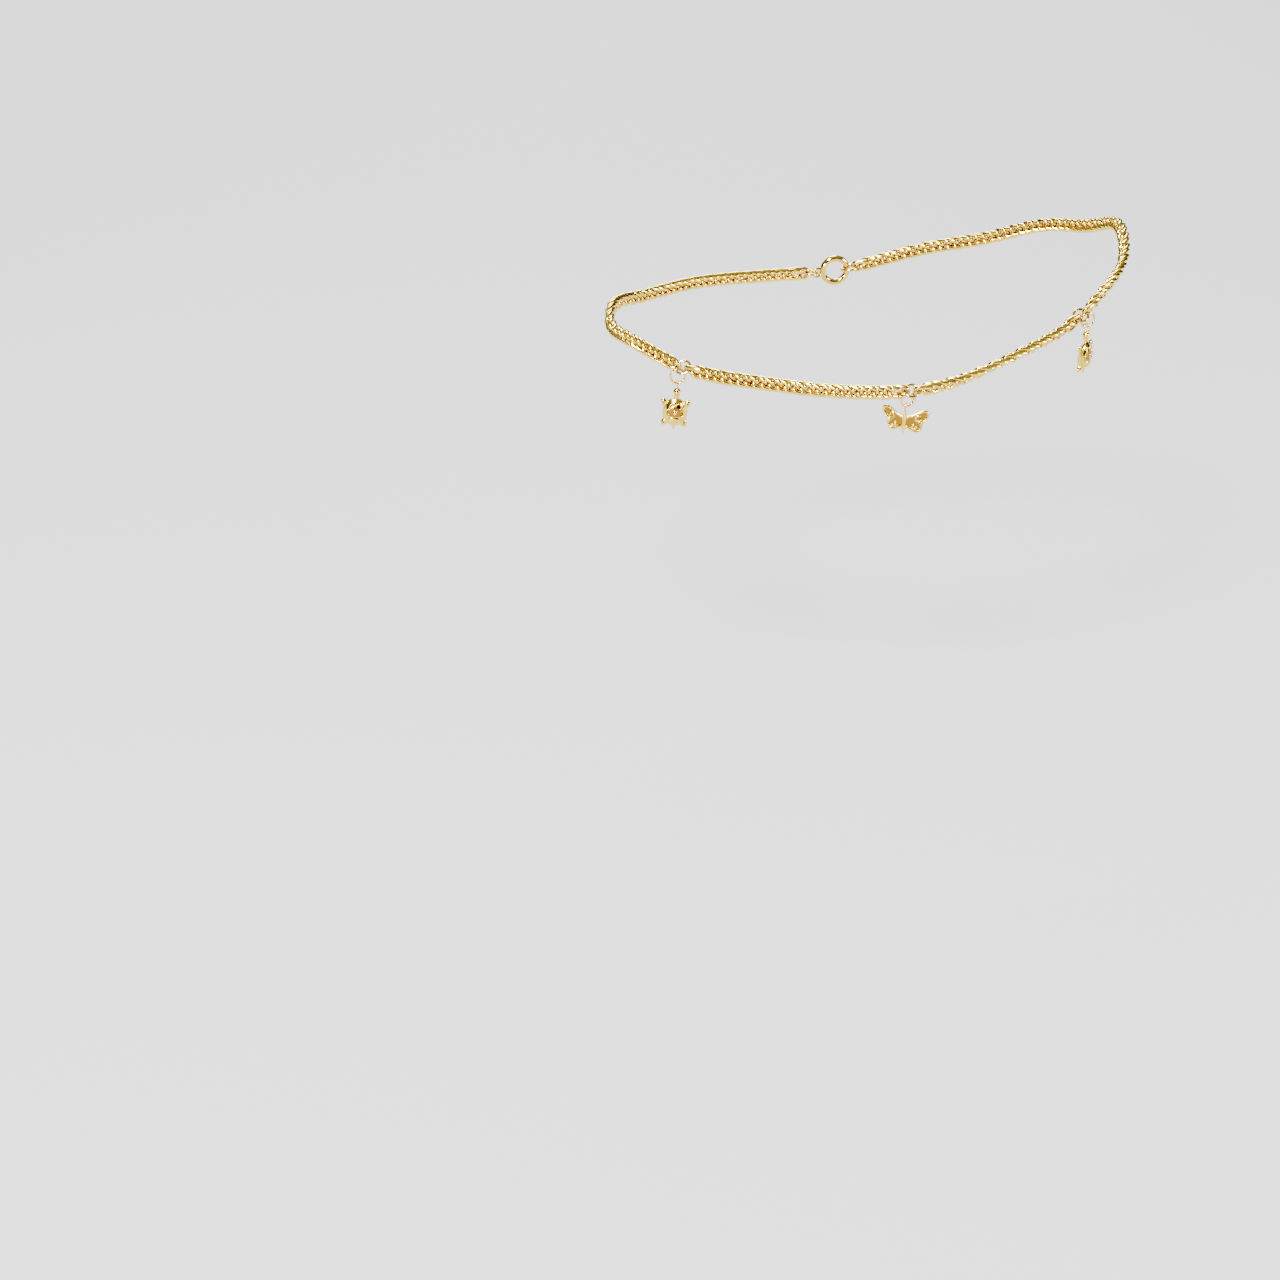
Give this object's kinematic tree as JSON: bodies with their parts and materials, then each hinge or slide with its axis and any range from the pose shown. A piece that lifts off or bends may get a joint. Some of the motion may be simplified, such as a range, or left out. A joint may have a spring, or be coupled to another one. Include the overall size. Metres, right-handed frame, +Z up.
{
  "type": "charm anklet",
  "caption": "Fine flat curb-chain anklet in polished yellow metal, worn round the ankle, with turtle and butterfly charms hung from small joining rings.",
  "frame": {"origin": "middle of the loop, where the ankle's axis passes through it", "axes": "+Z up the leg, +X towards the heel, -Y towards the side of the ankle that carries the charms"},
  "size_m": [0.0973, 0.0645, 0.0265],
  "materials": {
    "chain": "polished, gold plated",
    "rings": "polished, gold plated",
    "charms": "cast and polished, gold plated",
    "clasp": "polished, gold plated"
  },
  "bodies": {
    "root": {"chain_front": "chain", "chain_turtle_to_butterfly": "chain", "chain_butterfly_to_turtle": "chain", "chain_back": "chain", "joining_ring_front": "rings", "joining_ring_middle": "rings", "joining_ring_rear": "rings", "charm_ring_front": "rings", "charm_ring_middle": "rings", "charm_ring_rear": "rings", "turtle_charm_front": "charms", "butterfly_charm": "charms", "turtle_charm_rear": "charms", "clasp": "clasp", "clasp_ring": "rings", "end_ring": "rings"}
  },
  "joints": []
}
